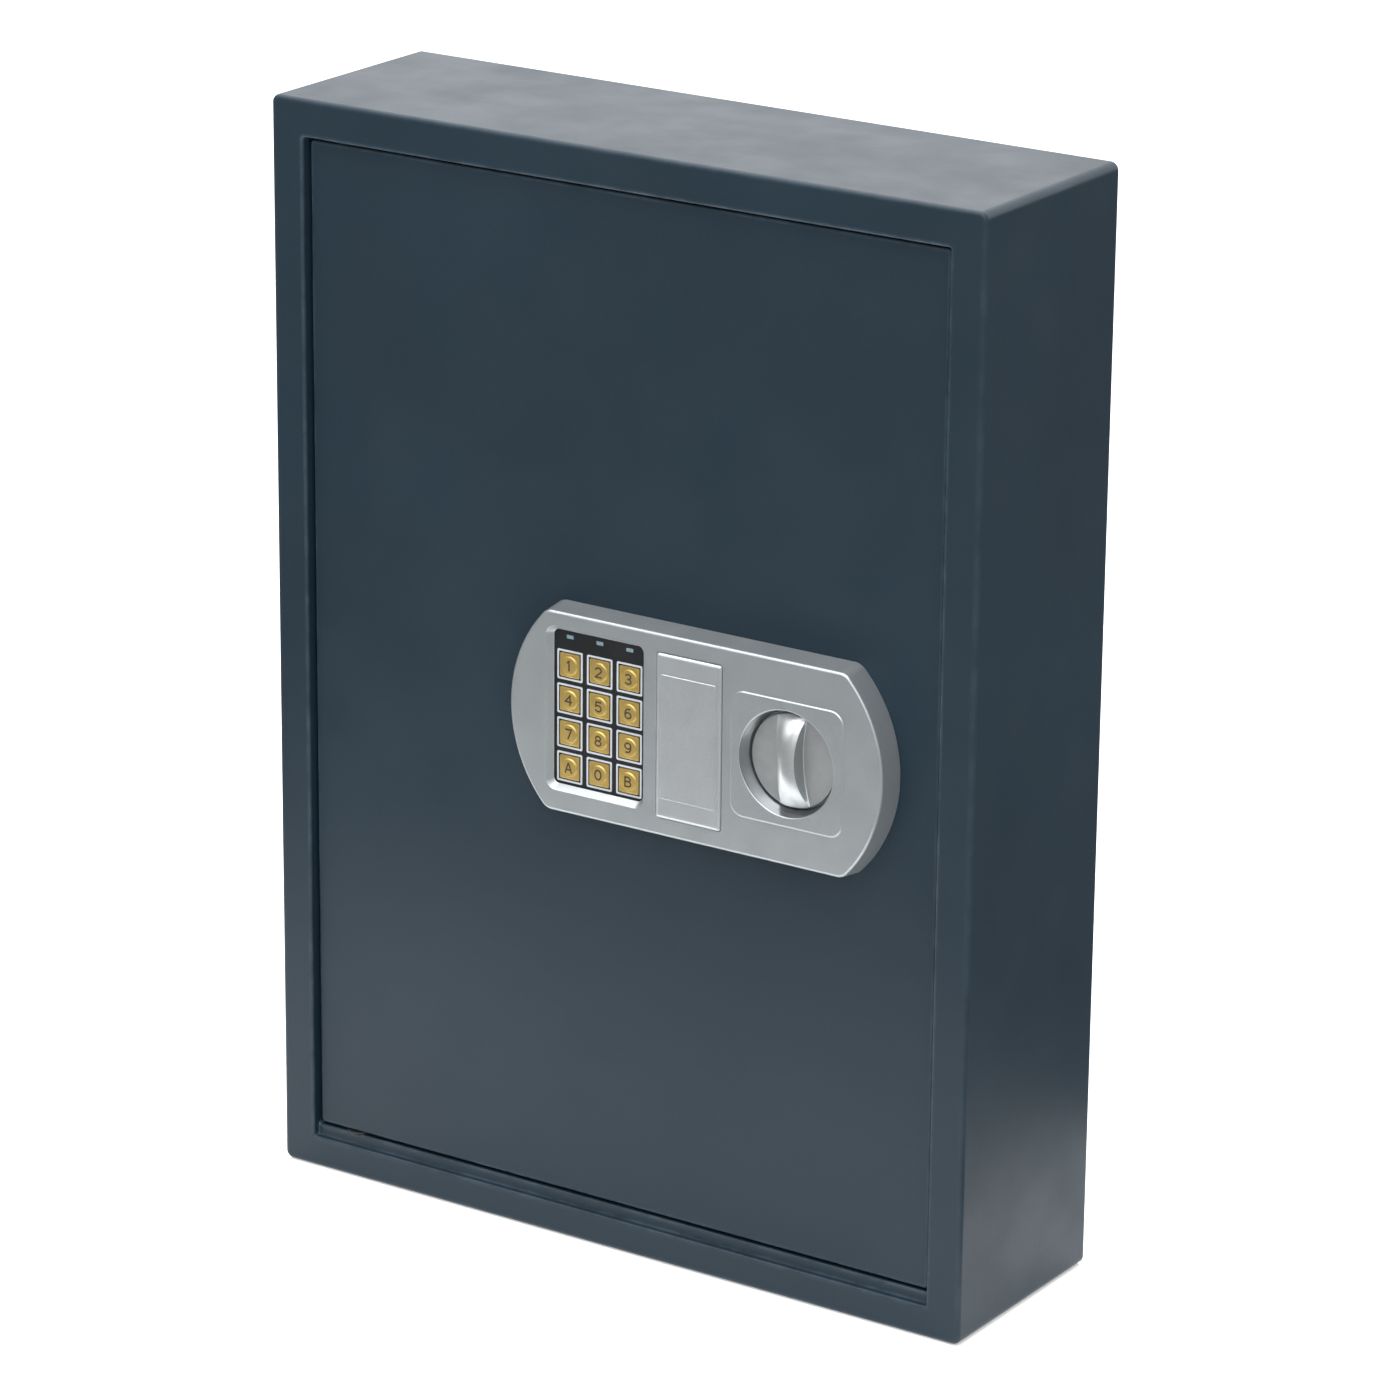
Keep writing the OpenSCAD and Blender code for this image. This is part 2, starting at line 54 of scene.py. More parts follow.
# ---------------------------------------------------------------- sizes in millimetres, as in the CAD
LO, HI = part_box("body_shell")
W2, ZT, ZB, YF = HI[0] * 1000, HI[2] * 1000, LO[2] * 1000, LO[1] * 1000
dlo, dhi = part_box("door_panel")
DX, DZB, DZT, YD = dhi[0] * 1000, dlo[2] * 1000, dhi[2] * 1000, dlo[1] * 1000
GAP = 1.3
OX, OZT, OZB = DX + GAP, DZT + GAP, DZB - GAP
OZF = OZB - 4.8
RECESS = YD - YF
LIP = YF + 15
flo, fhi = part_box("lock_fascia")
FX = (flo[0] + fhi[0]) * 500
KX, MX, NX = FX - 48.3, FX - 1.7, FX + 46.2
PX, PY = -DX + 18, YD + 5


# ---------------------------------------------------------------- mesh helpers
def arc(cx, cz, r, a0, a1, n):
    return [(cx + r * math.cos(math.radians(a0 + (a1 - a0) * i / n)), cz + r * math.sin(math.radians(a0 + (a1 - a0) * i / n))) for i in range(n + 1)]


def rr(x0, x1, z0, z1, r, n=8):
    return arc(x1 - r, z1 - r, r, 0, 90, n) + arc(x0 + r, z1 - r, r, 90, 180, n) + arc(x0 + r, z0 + r, r, 180, 270, n) + arc(x1 - r, z0 + r, r, 270, 360, n)


def fascia_loop(hl, hh, R, r, cx):
    q = math.sqrt((R - r) ** 2 - (hh - r) ** 2)
    a = math.degrees(math.atan2(hh - r, q))
    p = arc(hl - R, 0, R, 0, a, 20)[:-1] + arc(hl - R + q, hh - r, r, a, 90, 12)
    m = list(reversed(p))
    return [(cx + x, z) for x, z in p] + [(cx - x, z) for x, z in m] + [(cx - x, -z) for x, z in p[1:]] + [(cx + x, -z) for x, z in m[:-1]]


def ring(pts, y):
    return [(x, y, z) for x, z in pts]


def obj_from(name, verts, faces):
    me = bpy.data.meshes.new(name)
    me.from_pydata(verts, [], faces)
    bm = bmesh.new()
    bm.from_mesh(me)
    bmesh.ops.remove_doubles(bm, verts=bm.verts, dist=1e-5)
    bmesh.ops.recalc_face_normals(bm, faces=bm.faces)
    bm.to_mesh(me)
    bm.free()
    o = bpy.data.objects.new(name, me)
    scene.collection.objects.link(o)
    return o


def loft(name, loops, closed=False, cap=(True, True)):
    """Joins loops of equal length in order. closed joins the last to the first."""
    n = len(loops[0])
    assert all(len(l) == n for l in loops), [len(l) for l in loops]
    verts = [v for l in loops for v in l]
    faces = []
    for k in range(len(loops) if closed else len(loops) - 1):
        a, b = k * n, ((k + 1) % len(loops)) * n
        for i in range(n):
            j = (i + 1) % n
            faces.append((a + i, a + j, b + j, b + i))
    if not closed:
        if cap[0]:
            faces.append(tuple(range(n)))
        if cap[1]:
            faces.append(tuple(range((len(loops) - 1) * n, len(loops) * n)))
    return obj_from(name, verts, faces)


def revolve(name, prof, cx, cz, n=96):
    """prof is (radius, y) pairs; an end at radius 0 is a point."""
    return loft(name, [[(cx + r * math.cos(2 * math.pi * i / n), y, cz + r * math.sin(2 * math.pi * i / n)) for i in range(n)] for r, y in prof])


def boxm(name, x0, x1, y0, y1, z0, z1):
    return loft(name, [ring([(x1, z1), (x0, z1), (x0, z0), (x1, z0)], y) for y in (y0, y1)])


def fillet(r, n, a0, a1):
    """Offsets of a quarter round."""
    return [(r * math.cos(math.radians(a0 + (a1 - a0) * i / n)), r * math.sin(math.radians(a0 + (a1 - a0) * i / n))) for i in range(n + 1)]


def apply_mods(o):
    dg = bpy.context.evaluated_depsgraph_get()
    me = bpy.data.meshes.new_from_object(o.evaluated_get(dg))
    o.modifiers.clear()
    old = o.data
    o.data = me
    bpy.data.meshes.remove(old)


def boolean(o, cutters, op="DIFFERENCE"):
    for c in cutters:
        m = o.modifiers.new("b", "BOOLEAN")
        m.operation, m.object, m.solver = op, c, "EXACT"
        apply_mods(o)
        d = c.data
        bpy.data.objects.remove(c)
        bpy.data.meshes.remove(d)
    return o


def join(o, others):
    bm = bmesh.new()
    bm.from_mesh(o.data)
    for c in others:
        bm.from_mesh(c.data)
        d = c.data
        bpy.data.objects.remove(c)
        bpy.data.meshes.remove(d)
    bm.to_mesh(o.data)
    bm.free()
    return o


def polish(o, angle=32, metres=True):
    """Smooth shading with sharp creases kept, flats kept flat."""
    bm = bmesh.new()
    bm.from_mesh(o.data)
    if metres:
        bmesh.ops.remove_doubles(bm, verts=bm.verts, dist=0.002)
        bmesh.ops.dissolve_degenerate(bm, edges=bm.edges, dist=0.001)
        bmesh.ops.scale(bm, vec=(MM, MM, MM), verts=bm.verts)
    for f in bm.faces:
        f.smooth = True
    for e in bm.edges:
        e.smooth = not (len(e.link_faces) == 2 and e.calc_face_angle(0) > math.radians(angle))
    bm.to_mesh(o.data)
    bm.free()
    w = o.modifiers.new("wn", "WEIGHTED_NORMAL")
    w.keep_sharp = True
    w.weight = 80
    return o


def place(o, body, slot, mats, *nodes, angle=32):
    polish(o, angle)
    o.data.materials.clear()
    for m in (mats if isinstance(mats, (list, tuple)) else [mats]):
        o.data.materials.append(m)
    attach(o, body)
    if nodes:
        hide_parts(*nodes)
    return o


# ---------------------------------------------------------------- materials
class Mat:
    def __init__(self, name):
        self.m = bpy.data.materials.new(name)
        self.m.use_nodes = True
        self.t = self.m.node_tree
        self.p = self.t.nodes["Principled BSDF"]
        self.co = self.t.nodes.new("ShaderNodeTexCoord").outputs["Object"]

    def set(self, **k):
        for a, v in k.items():
            self.p.inputs[a.replace("_", " ")].default_value = v
        return self

    def noise(self, scale, detail=3.0, rough=0.5, stretch=None):
        n = self.t.nodes.new("ShaderNodeTexNoise")
        n.inputs["Scale"].default_value = scale
        n.inputs["Detail"].default_value = detail
        n.inputs["Roughness"].default_value = rough
        src = self.co
        if stretch:
            mp = self.t.nodes.new("ShaderNodeMapping")
            mp.inputs["Scale"].default_value = stretch
            self.t.links.new(src, mp.inputs["Vector"])
            src = mp.outputs["Vector"]
        self.t.links.new(src, n.inputs["Vector"])
        return n.outputs["Fac"]

    def ramp(self, fac, stops):
        r = self.t.nodes.new("ShaderNodeValToRGB")
        e = r.color_ramp.elements
        while len(e) < len(stops):
            e.new(0.5)
        for i, (pos, c) in enumerate(stops):
            e[i].position = pos
            e[i].color = (*c, 1) if len(c) == 3 else c
        self.t.links.new(fac, r.inputs["Fac"])
        return r.outputs["Color"]

    def remap(self, fac, a, b, lo, hi):
        r = self.t.nodes.new("ShaderNodeMapRange")
        for k, v in (("From Min", a), ("From Max", b), ("To Min", lo), ("To Max", hi)):
            r.inputs[k].default_value = v
        self.t.links.new(fac, r.inputs["Value"])
        return r.outputs["Result"]

    def mixc(self, fac, a, b, mode="MIX"):
        x = self.t.nodes.new("ShaderNodeMix")
        x.data_type, x.blend_type = "RGBA", mode
        for s, v in (("Factor", fac), ("A", a), ("B", b)):
            i = [q for q in x.inputs if q.name == s and (q.type == "RGBA" or s == "Factor")][0]
            if hasattr(v, "default_value") or hasattr(v, "is_linked"):
                self.t.links.new(v, i)
            else:
                i.default_value = v if s == "Factor" else (*v, 1)
        return [q for q in x.outputs if q.type == "RGBA"][0]

    def to(self, sock, out):
        self.t.links.new(out, self.p.inputs[sock])
        return self

    def bump(self, *layers):
        prev = None
        for fac, dist, strength in layers:
            b = self.t.nodes.new("ShaderNodeBump")
            b.inputs["Distance"].default_value = dist
            b.inputs["Strength"].default_value = strength
            self.t.links.new(fac, b.inputs["Height"])
            if prev is not None:
                self.t.links.new(prev, b.inputs["Normal"])
            prev = b.outputs["Normal"]
        self.t.links.new(prev, self.p.inputs["Normal"])
        return self

    def edge(self, radius, near=0.985, far=0.8):
        """1 on edges, 0 on flats."""
        b = self.t.nodes.new("ShaderNodeBevel")
        b.samples = 4
        b.inputs["Radius"].default_value = radius
        g = self.t.nodes.new("ShaderNodeNewGeometry")
        d = self.t.nodes.new("ShaderNodeVectorMath")
        d.operation = "DOT_PRODUCT"
        self.t.links.new(b.outputs["Normal"], d.inputs[0])
        self.t.links.new(g.outputs["Normal"], d.inputs[1])
        return self.remap(d.outputs["Value"], near, far, 0.0, 1.0)


def powder(name, c, rough=0.44, peel=1.0, sheen=0.5):
    m = Mat(name)
    fine, cloud = m.noise(1150, 2.0, 0.45), m.noise(9, 3)
    tone = m.ramp(cloud, [(0.3, tuple(v * 0.93 for v in c)), (0.7, tuple(v * 1.07 for v in c))])
    speck = m.remap(m.noise(2600, 1.5), 0.62, 0.72, 0.0, 0.22)
    tone = m.mixc(speck, tone, tuple(min(1, v * 1.9 + 0.01) for v in c))
    # Edges lightened in colour: partly rubbed wear of the paint, partly a painted highlight along the edges.
    edge_wear_and_highlight = m.t.nodes.new("ShaderNodeMath")
    edge_wear_and_highlight.operation = "MULTIPLY"
    m.t.links.new(m.edge(0.0022, 0.995, 0.90), edge_wear_and_highlight.inputs[0])
    m.t.links.new(m.remap(m.noise(75, 6, 0.65), 0.38, 0.62, 0.12, 0.9), edge_wear_and_highlight.inputs[1])
    m.to("Base Color", m.mixc(edge_wear_and_highlight.outputs[0], tone, tuple(v * 2.8 + 0.045 for v in c)))
    m.to("Roughness", m.remap(m.noise(35, 4), 0.3, 0.7, rough - 0.04, rough + 0.05))
    m.bump((fine, 0.00007 * peel, 0.55), (m.noise(330, 2), 0.00008 * peel, 0.30))
    m.set(Specular_IOR_Level=sheen, IOR=1.5)
    return m.m


def silver_lacquer(name, c=(0.46, 0.495, 0.512), rough=0.36):
    m = Mat(name)
    flake = m.noise(4200, 1.0, 0.6)
    tone = m.ramp(flake, [(0.35, tuple(v * 0.90 for v in c)), (0.65, tuple(v * 1.10 for v in c))])
    # Edges lightened in colour: a painted highlight along the edges; the lacquer has no wear.
    edge_wear_and_highlight = m.t.nodes.new("ShaderNodeMath")
    edge_wear_and_highlight.operation = "MULTIPLY"
    m.t.links.new(m.edge(0.0006), edge_wear_and_highlight.inputs[0])
    m.t.links.new(m.remap(m.noise(90, 5, 0.6), 0.35, 0.6, 0.1, 0.5), edge_wear_and_highlight.inputs[1])
    m.to("Base Color", m.mixc(edge_wear_and_highlight.outputs[0], tone, tuple(min(0.9, v * 1.55) for v in c)))
    m.to("Roughness", m.remap(m.noise(120, 4), 0.3, 0.7, rough - 0.03, rough + 0.04))
    m.bump((flake, 0.00001, 0.22), (m.noise(900, 2), 0.00001, 0.15))
    m.set(Metallic=0.75)
    return m.m


def satin_cast(name, c, rough, metallic=0.78):
    """Cast and clear-coated: soft clouds, faint orange peel, no flake."""
    m = Mat(name)
    m.to("Base Color", m.ramp(m.noise(190, 4, 0.6), [(0.3, tuple(v * 0.95 for v in c)), (0.7, tuple(v * 1.05 for v in c))]))
    m.to("Roughness", m.remap(m.noise(70, 3), 0.3, 0.7, rough - 0.025, rough + 0.03))
    m.bump((m.noise(420, 2), 0.000006, 0.2))
    m.set(Metallic=metallic)
    return m.m


def zinc(name, c=(0.56, 0.57, 0.58), rough=0.33, metallic=1.0):
    m = Mat(name)
    cloud = m.noise(70, 5, 0.6)
    m.to("Base Color", m.ramp(cloud, [(0.3, tuple(v * 0.84 for v in c)), (0.7, c)]))
    m.to("Roughness", m.remap(m.noise(260, 4, stretch=(1, 1, 14)), 0.3, 0.7, rough - 0.06, rough + 0.1))
    m.bump((m.noise(900, 3, stretch=(1, 1, 10)), 0.00002, 0.3))
    m.set(Metallic=metallic)
    return m.m


def gold(name, c, rough):
    m = Mat(name)
    m.to("Base Color", m.ramp(m.noise(110, 4, 0.6), [(0.3, tuple(v * 0.9 for v in c)), (0.7, tuple(v * 1.08 for v in c))]))
    m.to("Roughness", m.remap(m.noise(300, 3), 0.3, 0.7, rough - 0.04, rough + 0.05))
    m.bump((m.noise(1500, 2), 0.00001, 0.2))
    m.set(Metallic=0.7, Specular_IOR_Level=0.5)
    return m.m


def plastic(name, c, rough=0.45, grain=1500, depth=0.00003, spec=0.5, coat=0.0):
    m = Mat(name)
    m.to("Base Color", m.ramp(m.noise(45, 4), [(0.3, tuple(v * 0.88 for v in c)), (0.7, tuple(min(1, v * 1.1) for v in c))]))
    m.to("Roughness", m.remap(m.noise(90, 3), 0.3, 0.7, rough - 0.04, rough + 0.05))
    m.bump((m.noise(grain, 2), depth, 0.4))
    m.set(Specular_IOR_Level=spec, Coat_Weight=coat)
    return m.m


M = {
    "powder_coat": powder("powder_coat_slate", (0.0110, 0.0238, 0.0360), rough=0.40, sheen=0.30),
    "powder_inside": powder("powder_coat_inside", (0.015, 0.031, 0.044), rough=0.46, peel=1.2, sheen=0.32),
    "satin_silver": silver_lacquer("silver_lacquer"),
    "knob_silver": satin_cast("knob_silver", (0.60, 0.62, 0.63), 0.32),
    "cover_silver": silver_lacquer("cover_silver", (0.57, 0.60, 0.615), 0.35),
    # A darker, smoother copy of the silver: its darkness is painted shade on the cup wall and the grip's flanks.
    "silver_painted_shade": satin_cast("silver_painted_shade", (0.40, 0.42, 0.43), 0.22, 0.92),
    "zinc_steel": zinc("zinc_plate"),
    "black_plastic": plastic("keypad_black", (0.010, 0.012, 0.014), 0.34, spec=0.5),
    "gold_key": gold("key_gold", (0.56, 0.40, 0.125), 0.37),
    "key_print": plastic("key_print", (0.055, 0.034, 0.012), 0.5),
    "frame_print": plastic("key_frame_silver", (0.40, 0.43, 0.46), 0.4),
    "led_lens": plastic("indicator_lens", (0.16, 0.22, 0.26), 0.22, coat=0.5),
    "rubber": plastic("rubber_black", (0.012, 0.012, 0.012), 0.75, grain=2500, depth=0.00006),
    "nylon": plastic("nylon_dark", (0.014, 0.014, 0.015), 0.5),
    "brass": zinc("machined_brass", (0.66, 0.47, 0.17), 0.28),
    "circuit_board": plastic("solder_mask", (0.01, 0.09, 0.04), 0.3, coat=0.3),
    "cable_grey": plastic("ribbon_grey", (0.30, 0.30, 0.32), 0.5),
    "coil_wrap": plastic("coil_tape", (0.26, 0.09, 0.025), 0.42),
    "battery_wrap": plastic("battery_wrap", (0.03, 0.05, 0.10), 0.28, coat=0.4),
    "red_plastic": plastic("button_red", (0.40, 0.015, 0.012), 0.3, coat=0.3),
}


# ---------------------------------------------------------------- cabinet shell
def outer(i, y):
    return ring(rr(-W2 + i, W2 - i, ZB + i, ZT - i, max(3.6 - i, 1.6)), y)


def opening(d, y, zb=OZB):
    return ring(rr(-OX - d, OX + d, zb - d, OZT + d, 1.0 + max(d, 0)), y)


loops = [outer(0.4, 0), outer(0, -0.4)]
for c, s in fillet(2.0, 6, 0, 90):
    loops.append(outer(2.0 - c, YF + 2.0 - s))
for s, c in fillet(1.1, 5, 90, 0)[::1]:
    loops.append(opening(1.1 - s, YF + 1.1 - c, OZF))
loops += [opening(0, YD - 0.7, OZF), opening(0, YD - 0.2, OZF + 0.2), opening(0, YD, OZF + 0.7)]
for s, c in fillet(0.9, 4, 90, 0):
    loops.append(opening(0, YD + 0.9 - c, OZB - 0.9 + s))
loops += [opening(0, LIP - 0.3), opening(0.3, LIP), opening(1.7, LIP), opening(2, LIP - 0.3), opening(2, YD + 2), opening(2, YD + 2, OZF), opening(2, YF + 2, OZF)]
loops += [outer(2, YF + 2), outer(2, 0)]
# the two quarter rounds above run from flat to wall, so put them in path order
shell_loops = loops
shell = loft("cabinet_shell", shell_loops, closed=True)
boolean(shell, [loft("c", [[(PX + 4.3 * math.cos(math.tau * i / 32), PY + 4.3 * math.sin(math.tau * i / 32), z) for i in range(32)] for z in zz]) for zz in ((OZT - 0.5, OZT + 4), (OZB - 4, OZB + 0.5))])
place(shell, "cabinet", "powder_coat", M["powder_coat"], "body_shell")

# ---------------------------------------------------------------- door leaf
def leaf(i, y):
    return ring(rr(-DX + i, DX - i, DZB + i, DZT - i, max(2.2 - i, 0.5)), y)


loops = [leaf(0.3, YD + 8), leaf(0, YD + 7.7)]
for c, s in fillet(1.3, 5, 0, 90):
    loops.append(leaf(1.3 - c, YD + 1.3 - s))
front = loops
back = [leaf(2, YD + 2), leaf(2, YD + 7.7), leaf(1.7, YD + 8)]
door = loft("door_leaf", list(reversed(front)) + list(reversed(back)))
cut = [revolve("c", [(7, YD - 1), (7, YD + 3)], NX, 0, 40), revolve("c", [(9.9, YD - 1), (9.9, YD + 3)], MX, 0, 40)]
cut += [revolve("c", [(2.8, YD - 1), (2.8, YD + 3)], FX + i * 80.8, k, 20) for i in (-1, 1) for k in (-22, 22)]
cut += [boxm("c", KX - 8, KX + 8, YD - 1, YD + 3, -34, -27)]
for z0, z1 in ((DZB - 1, DZB + 2.6), (DZT - 2.6, DZT + 1)):
    u = [(PX - 2.85, YD + 9), (PX - 2.85, PY)] + [(PX - 2.85 * math.cos(math.pi * i / 12), PY - 2.85 * math.sin(math.pi * i / 12)) for i in range(1, 12)] + [(PX + 2.85, PY), (PX + 2.85, YD + 9)]
    cut.append(loft("c", [[(x, y, z) for x, y in u] for z in (z0, z1)]))
boolean(door, cut)
place(door, "door", "powder_coat", M["powder_coat"], "door_panel")

# ---------------------------------------------------------------- lock fascia
YS = YD - 12


def fl(i, y):
    return ring(fascia_loop(93.5 - i, 45.6 - i, 62, 7 - min(i, 2) * 0.5, FX), y)


loops = [fl(0.2, YD), fl(0, YD - 0.3), fl(0.5, YD - 3.5), fl(1.0, YD - 7.0), fl(1.45, YS + 1.55)]
for c, s in fillet(1.5, 6, 14, 90)[0:]:
    loops.append(fl(2.95 - c, YS + 1.5 - s))
fascia = loft("fascia_casting", loops)


def pad(name, x0, x1, z0, z1, r, prof, n=8):
    """Loft of rounded rectangles; prof is (offset, y)."""
    return loft(name, [ring(rr(x0 - d, x1 + d, z0 - d, z1 + d, max(r + d, 0.15), n), y) for d, y in prof])


# raised square round the knob
plate = pad("p", NX - 27, NX + 27, -27, 27, 6, [(0.55, YS + 1), (0.55, YS + 0.03), (0.3, YS - 0.04), (0.14, YS - 0.2), (-0.02, YS - 0.4), (-0.2, YS - 0.53), (-0.45, YS - 0.585), (-0.8, YS - 0.6)])
boolean(fascia, [plate], "UNION")
# keypad window: sloping sides down to the plate
kp = [(3.3, YS - 1.5), (2.45, YS - 0.15), (2.15, YS + 0.12), (1.9, YS + 0.5), (0.35, YS + 2.75), (0.08, YS + 2.92), (0, YS + 3.2), (0, YD + 1)]
pocket = pad("p", KX - 23, KX + 21.9, -32.4, 35.6, 2.6, kp)
inside = pad("p", KX - 25, KX + 25, -36, 39, 3, [(0, YD - 9), (0, YD + 1)])
seat = pad("p", MX - 16.2, MX + 16.2, -36.2, 36.2, 1.4, [(0.9, YS - 0.8), (0.3, YS - 0.1), (0.12, YS + 0.1), (0, YS + 0.35), (0, YS + 1.5)])
cupp = [(24.0, YS - 1.6), (23.5, YS - 0.62), (23.3, YS - 0.59), (23.08, YS - 0.48), (22.93, YS - 0.3), (22.8, YS - 0.05), (22.3, YS + 2.2), (21.9, YS + 3.9), (21.6, YS + 4.7), (21.35, YS + 5.15), (21.3, YS + 5.6), (21.3, YD - 4.8), (21.0, YD - 4.5)]
cup = revolve("c", cupp, NX, 0, 128)
cuts = [pocket, inside, seat, cup, revolve("c", [(9.9, YS - 1), (9.9, YD + 1)], MX, 0, 48), revolve("c", [(6, YD - 5), (6, YD + 1)], NX, 0, 40), boxm("c", MX - 13.5, MX + 13.5, YD - 7, YD + 1, -33, 33)]
cuts += [boxm("c", MX - 4.6, MX + 4.6, YD - 11, YD + 1, k - 1.2, k + 1.2) for k in (-27, 27)]
cuts += [revolve("c", [(2.6, YD - 8), (2.6, YD + 1)], FX + i * 80.8, k, 20) for i in (-1, 1) for k in (-22, 22)]
boolean(fascia, cuts)
place(fascia, "door", "satin_silver", [M["satin_silver"], M["silver_painted_shade"]], "lock_fascia", angle=40)
# The cup's wall faces take the darker silver: painted shade in the recess.
for f in fascia.data.polygons:
    c = f.center
    if math.hypot(c.x * 1000 - NX, c.z * 1000) < 22.95 and math.hypot(c.x * 1000 - NX, c.z * 1000) > 20.9 and c.y * 1000 > YS - 0.35 and abs(f.normal.y) < 0.9:
        f.material_index = 1

# ---------------------------------------------------------------- cover plate
prof = [(-0.2, YD - 10.9), (0, YD - 11.1), (0, YD - 11.95), (-0.18, YD - 12.3), (-0.5, YD - 12.62), (-0.95, YD - 12.86), (-1.4, YD - 12.97), (-1.7, YD - 13.0)]
loops = [ring(rr(MX - 16 - d, MX + 16 + d, -36 - d, 36 + d, max(1.3 + d, 0.3)), y) for d, y in prof]
for d, y in ((0, YD - 13.0), (-0.06, YD - 12.86), (-0.28, YD - 12.86), (-0.34, YD - 13.08), (-0.5, YD - 13.24), (-0.72, YD - 13.3)):
    loops.append(ring(rr(MX - 13.8 - d, MX + 13.8 + d, -27.5 - d, 27.5 + d, 1.0 + max(d, -0.5)), y))
cover = loft("cover_plate", loops)
join(cover, [pad("p", MX - 4, MX + 4, k - 0.6, k + 0.6, 0.2, [(0, YD - 11.2), (0, YD - 6), (-0.3, YD - 5.5)], 3) for k in (-27, 27)])
place(cover, "cover", "satin_silver", M["cover_silver"], "override_cover", angle=40)

# ---------------------------------------------------------------- knob
KR = 20.3
disc = revolve("knob_dial", [(KR - 0.3, YD - 4.9), (KR, YD - 5.1), (KR, YD - 6.4), (KR - 0.1, YD - 6.65), (KR - 0.38, YD - 6.8)], NX, 0, 128)
FACE = YD - 6.8
GC, GS = math.cos(math.radians(3)), math.sin(math.radians(3))
sections = []
NS = 48
for k in range(NS + 1):
    t = -1 + 2 * k / NS
    w = 4.1 + 3.5 * abs(t) ** 2.0
    h = -0.5 + 8.25 * (1 - abs(t) ** 2.2) ** 0.86
    rho = max(0.12, min(0.45, (h + 0.5) * 0.3))
    wb = w + 0.06 * max(h, 0) + 0.2
    cr = max(0.0, min(1.5, (h + 0.5) * 0.5))
    e = h - cr
    right = [(wb + 0.35, -1.4), (wb + 0.30, 0.0), (wb, min(0.35, 0.2 + 0.15 * max(h, 0)) if h > 1.2 else min(0.1, e - 0.3))]
    right += [(w - rho + rho * math.cos(math.radians(a)), e - rho + rho * math.sin(math.radians(a))) for a in (8, 24, 40, 52)]
    x1, y1 = right[-1]
    right += [(x1 * u, y1 + (h - y1) * (1 - u * u)) for u in (0.82, 0.62, 0.4, 0.18)]
    sec = right + [(-x, y) for x, y in reversed(right)]
    z = t * (KR + 0.4)
    sections.append([(NX + x * GC + z * -GS, FACE - y, z * GC + x * GS) for x, y in sec])
grip = loft("g", sections)
boolean(grip, [revolve("c", [(KR - 0.25, YD - 30), (KR - 0.25, YD - 5)], NX, 0, 128)], "INTERSECT")
join(disc, [grip])
place(disc, "knob_group", "satin_silver", [M["knob_silver"], M["silver_painted_shade"]], "knob", angle=30)
for f in disc.data.polygons:
    # the two steep flanks of the grip take the smoother, darker silver of the cup wall; the darkness is painted shade
    if abs(f.normal.x) > 0.93 and abs(f.center.x * 1000 - NX) < 9 and f.center.y * 1000 < FACE + 0.1:
        f.material_index = 1

# ---------------------------------------------------------------- keys, outlines
def glyph(ch):
    E = lambda cx, cy, rx, ry, a0, a1, n=18: [(cx + rx * math.cos(math.radians(a0 + (a1 - a0) * i / n)), cy + ry * math.sin(math.radians(a0 + (a1 - a0) * i / n))) for i in range(n + 1)]
    return {
        "0": [E(0, 0, 0.9, 1.45, 90, 450, 28)],
        "1": [[(-0.45, 0.95), (0.1, 1.45), (0.1, -1.45)]],
        "2": [E(0, 0.6, 0.88, 0.85, 165, -20) + [(-0.9, -1.45), (0.95, -1.45)]],
        "3": [E(-0.05, 0.72, 0.8, 0.73, 150, -90) + E(-0.05, -0.72, 0.88, 0.73, 90, -150)],
        "4": [[(0.45, -1.45), (0.45, 1.45), (-0.95, -0.5), (0.95, -0.5)]],
        "5": [[(0.8, 1.45), (-0.65, 1.45), (-0.75, 0.15)] + E(-0.02, -0.52, 0.9, 0.92, 125, -150)],
        "6": [[(0.6, 1.4)] + E(0.1, 0.0, 0.98, 1.4, 105, 180, 10) + E(0, -0.58, 0.88, 0.87, 180, 540, 26)],
        "7": [[(-0.9, 1.45), (0.9, 1.45), (-0.15, -1.45)]],
        "8": [E(0, 0.74, 0.72, 0.7, 270, 630, 22), E(0, -0.7, 0.88, 0.75, 90, 450, 24)],
        "9": [[(-0.6, -1.4)] + E(-0.1, 0.0, 0.98, 1.4, 285, 360, 10) + E(0, 0.58, 0.88, 0.87, 0, 360, 26)],
        "A": [[(-0.95, -1.45), (-0.1, 1.45), (0.1, 1.45), (0.95, -1.45)], [(-0.62, -0.5), (0.62, -0.5)]],
        "B": [[(-0.8, -1.45), (-0.8, 1.45)] + E(0.05, 0.77, 0.72, 0.68, 90, -90, 12) + [(-0.8, 0.09)], [(-0.8, 0.09)] + E(0.12, -0.68, 0.8, 0.77, 90, -90, 12) + [(-0.8, -1.45)]],
    }[ch]


def resample(pts, step=0.22):
    """More points along the straight runs, so that a stroke follows the dome."""
    out = [pts[0]]
    for a, b in zip(pts, pts[1:]):
        k = max(1, math.ceil((b - a).length / step))
        out += [a.lerp(b, i / k) for i in range(1, k + 1)]
    return out


def key_height(r):
    """Height of the key's face above its flat at a radius in mm."""
    if r > 4.2:
        return 0.0
    if r > 3.6:
        u = (4.2 - r) / 0.6
        return 0.6 * (3 * u * u - 2 * u ** 3)
    return 0.6 + 0.1 * (1 - (r / 3.6) ** 2)


